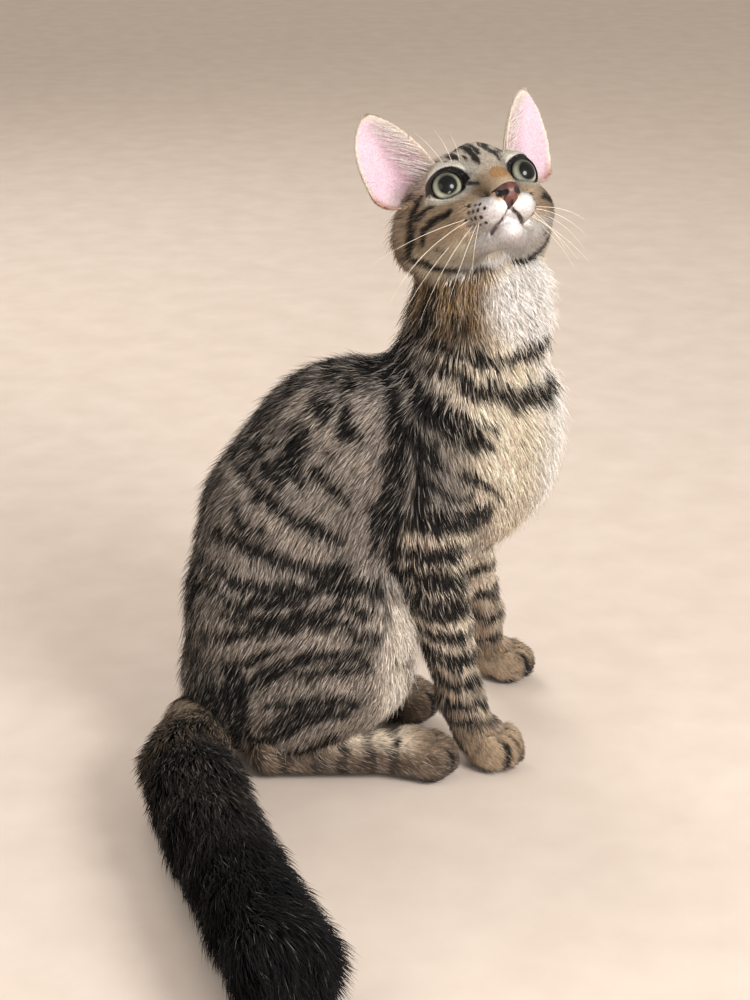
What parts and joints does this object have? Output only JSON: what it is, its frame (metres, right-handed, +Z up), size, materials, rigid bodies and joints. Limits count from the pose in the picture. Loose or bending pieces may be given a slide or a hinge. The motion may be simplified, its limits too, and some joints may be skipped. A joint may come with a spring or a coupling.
{
  "type": "seated cat",
  "caption": "Young brown tabby cat, life size, sitting upright with its head turned and lifted and its tail laid along the floor.",
  "frame": {"origin": "centre of the bounding box's footprint, on the floor", "axes": "+X is the way the body faces, +Y is the cat's left, +Z is up"},
  "size_m": [0.23, 0.403, 0.3646],
  "materials": {
    "coat": "matt fur",
    "nose_leather": "fine grained, slightly moist",
    "ear_skin": "thin skin with sparse hair",
    "eye": "wet and glossy"
  },
  "bodies": {
    "root": {"head": "coat", "neck": "coat", "trunk": "coat", "nose": "nose_leather", "ear_right": "ear_skin", "ear_left": "ear_skin", "eye_right": "eye", "eye_left": "eye", "foreleg_right": "coat", "foreleg_left": "coat", "forepaw_right": "coat", "forepaw_left": "coat", "hindleg_right": "coat", "hindleg_left": "coat", "hindpaw_right": "coat", "hindpaw_left": "coat", "tail_base": "coat", "tail_middle": "coat", "tail_tip": "coat"}
  },
  "joints": []
}
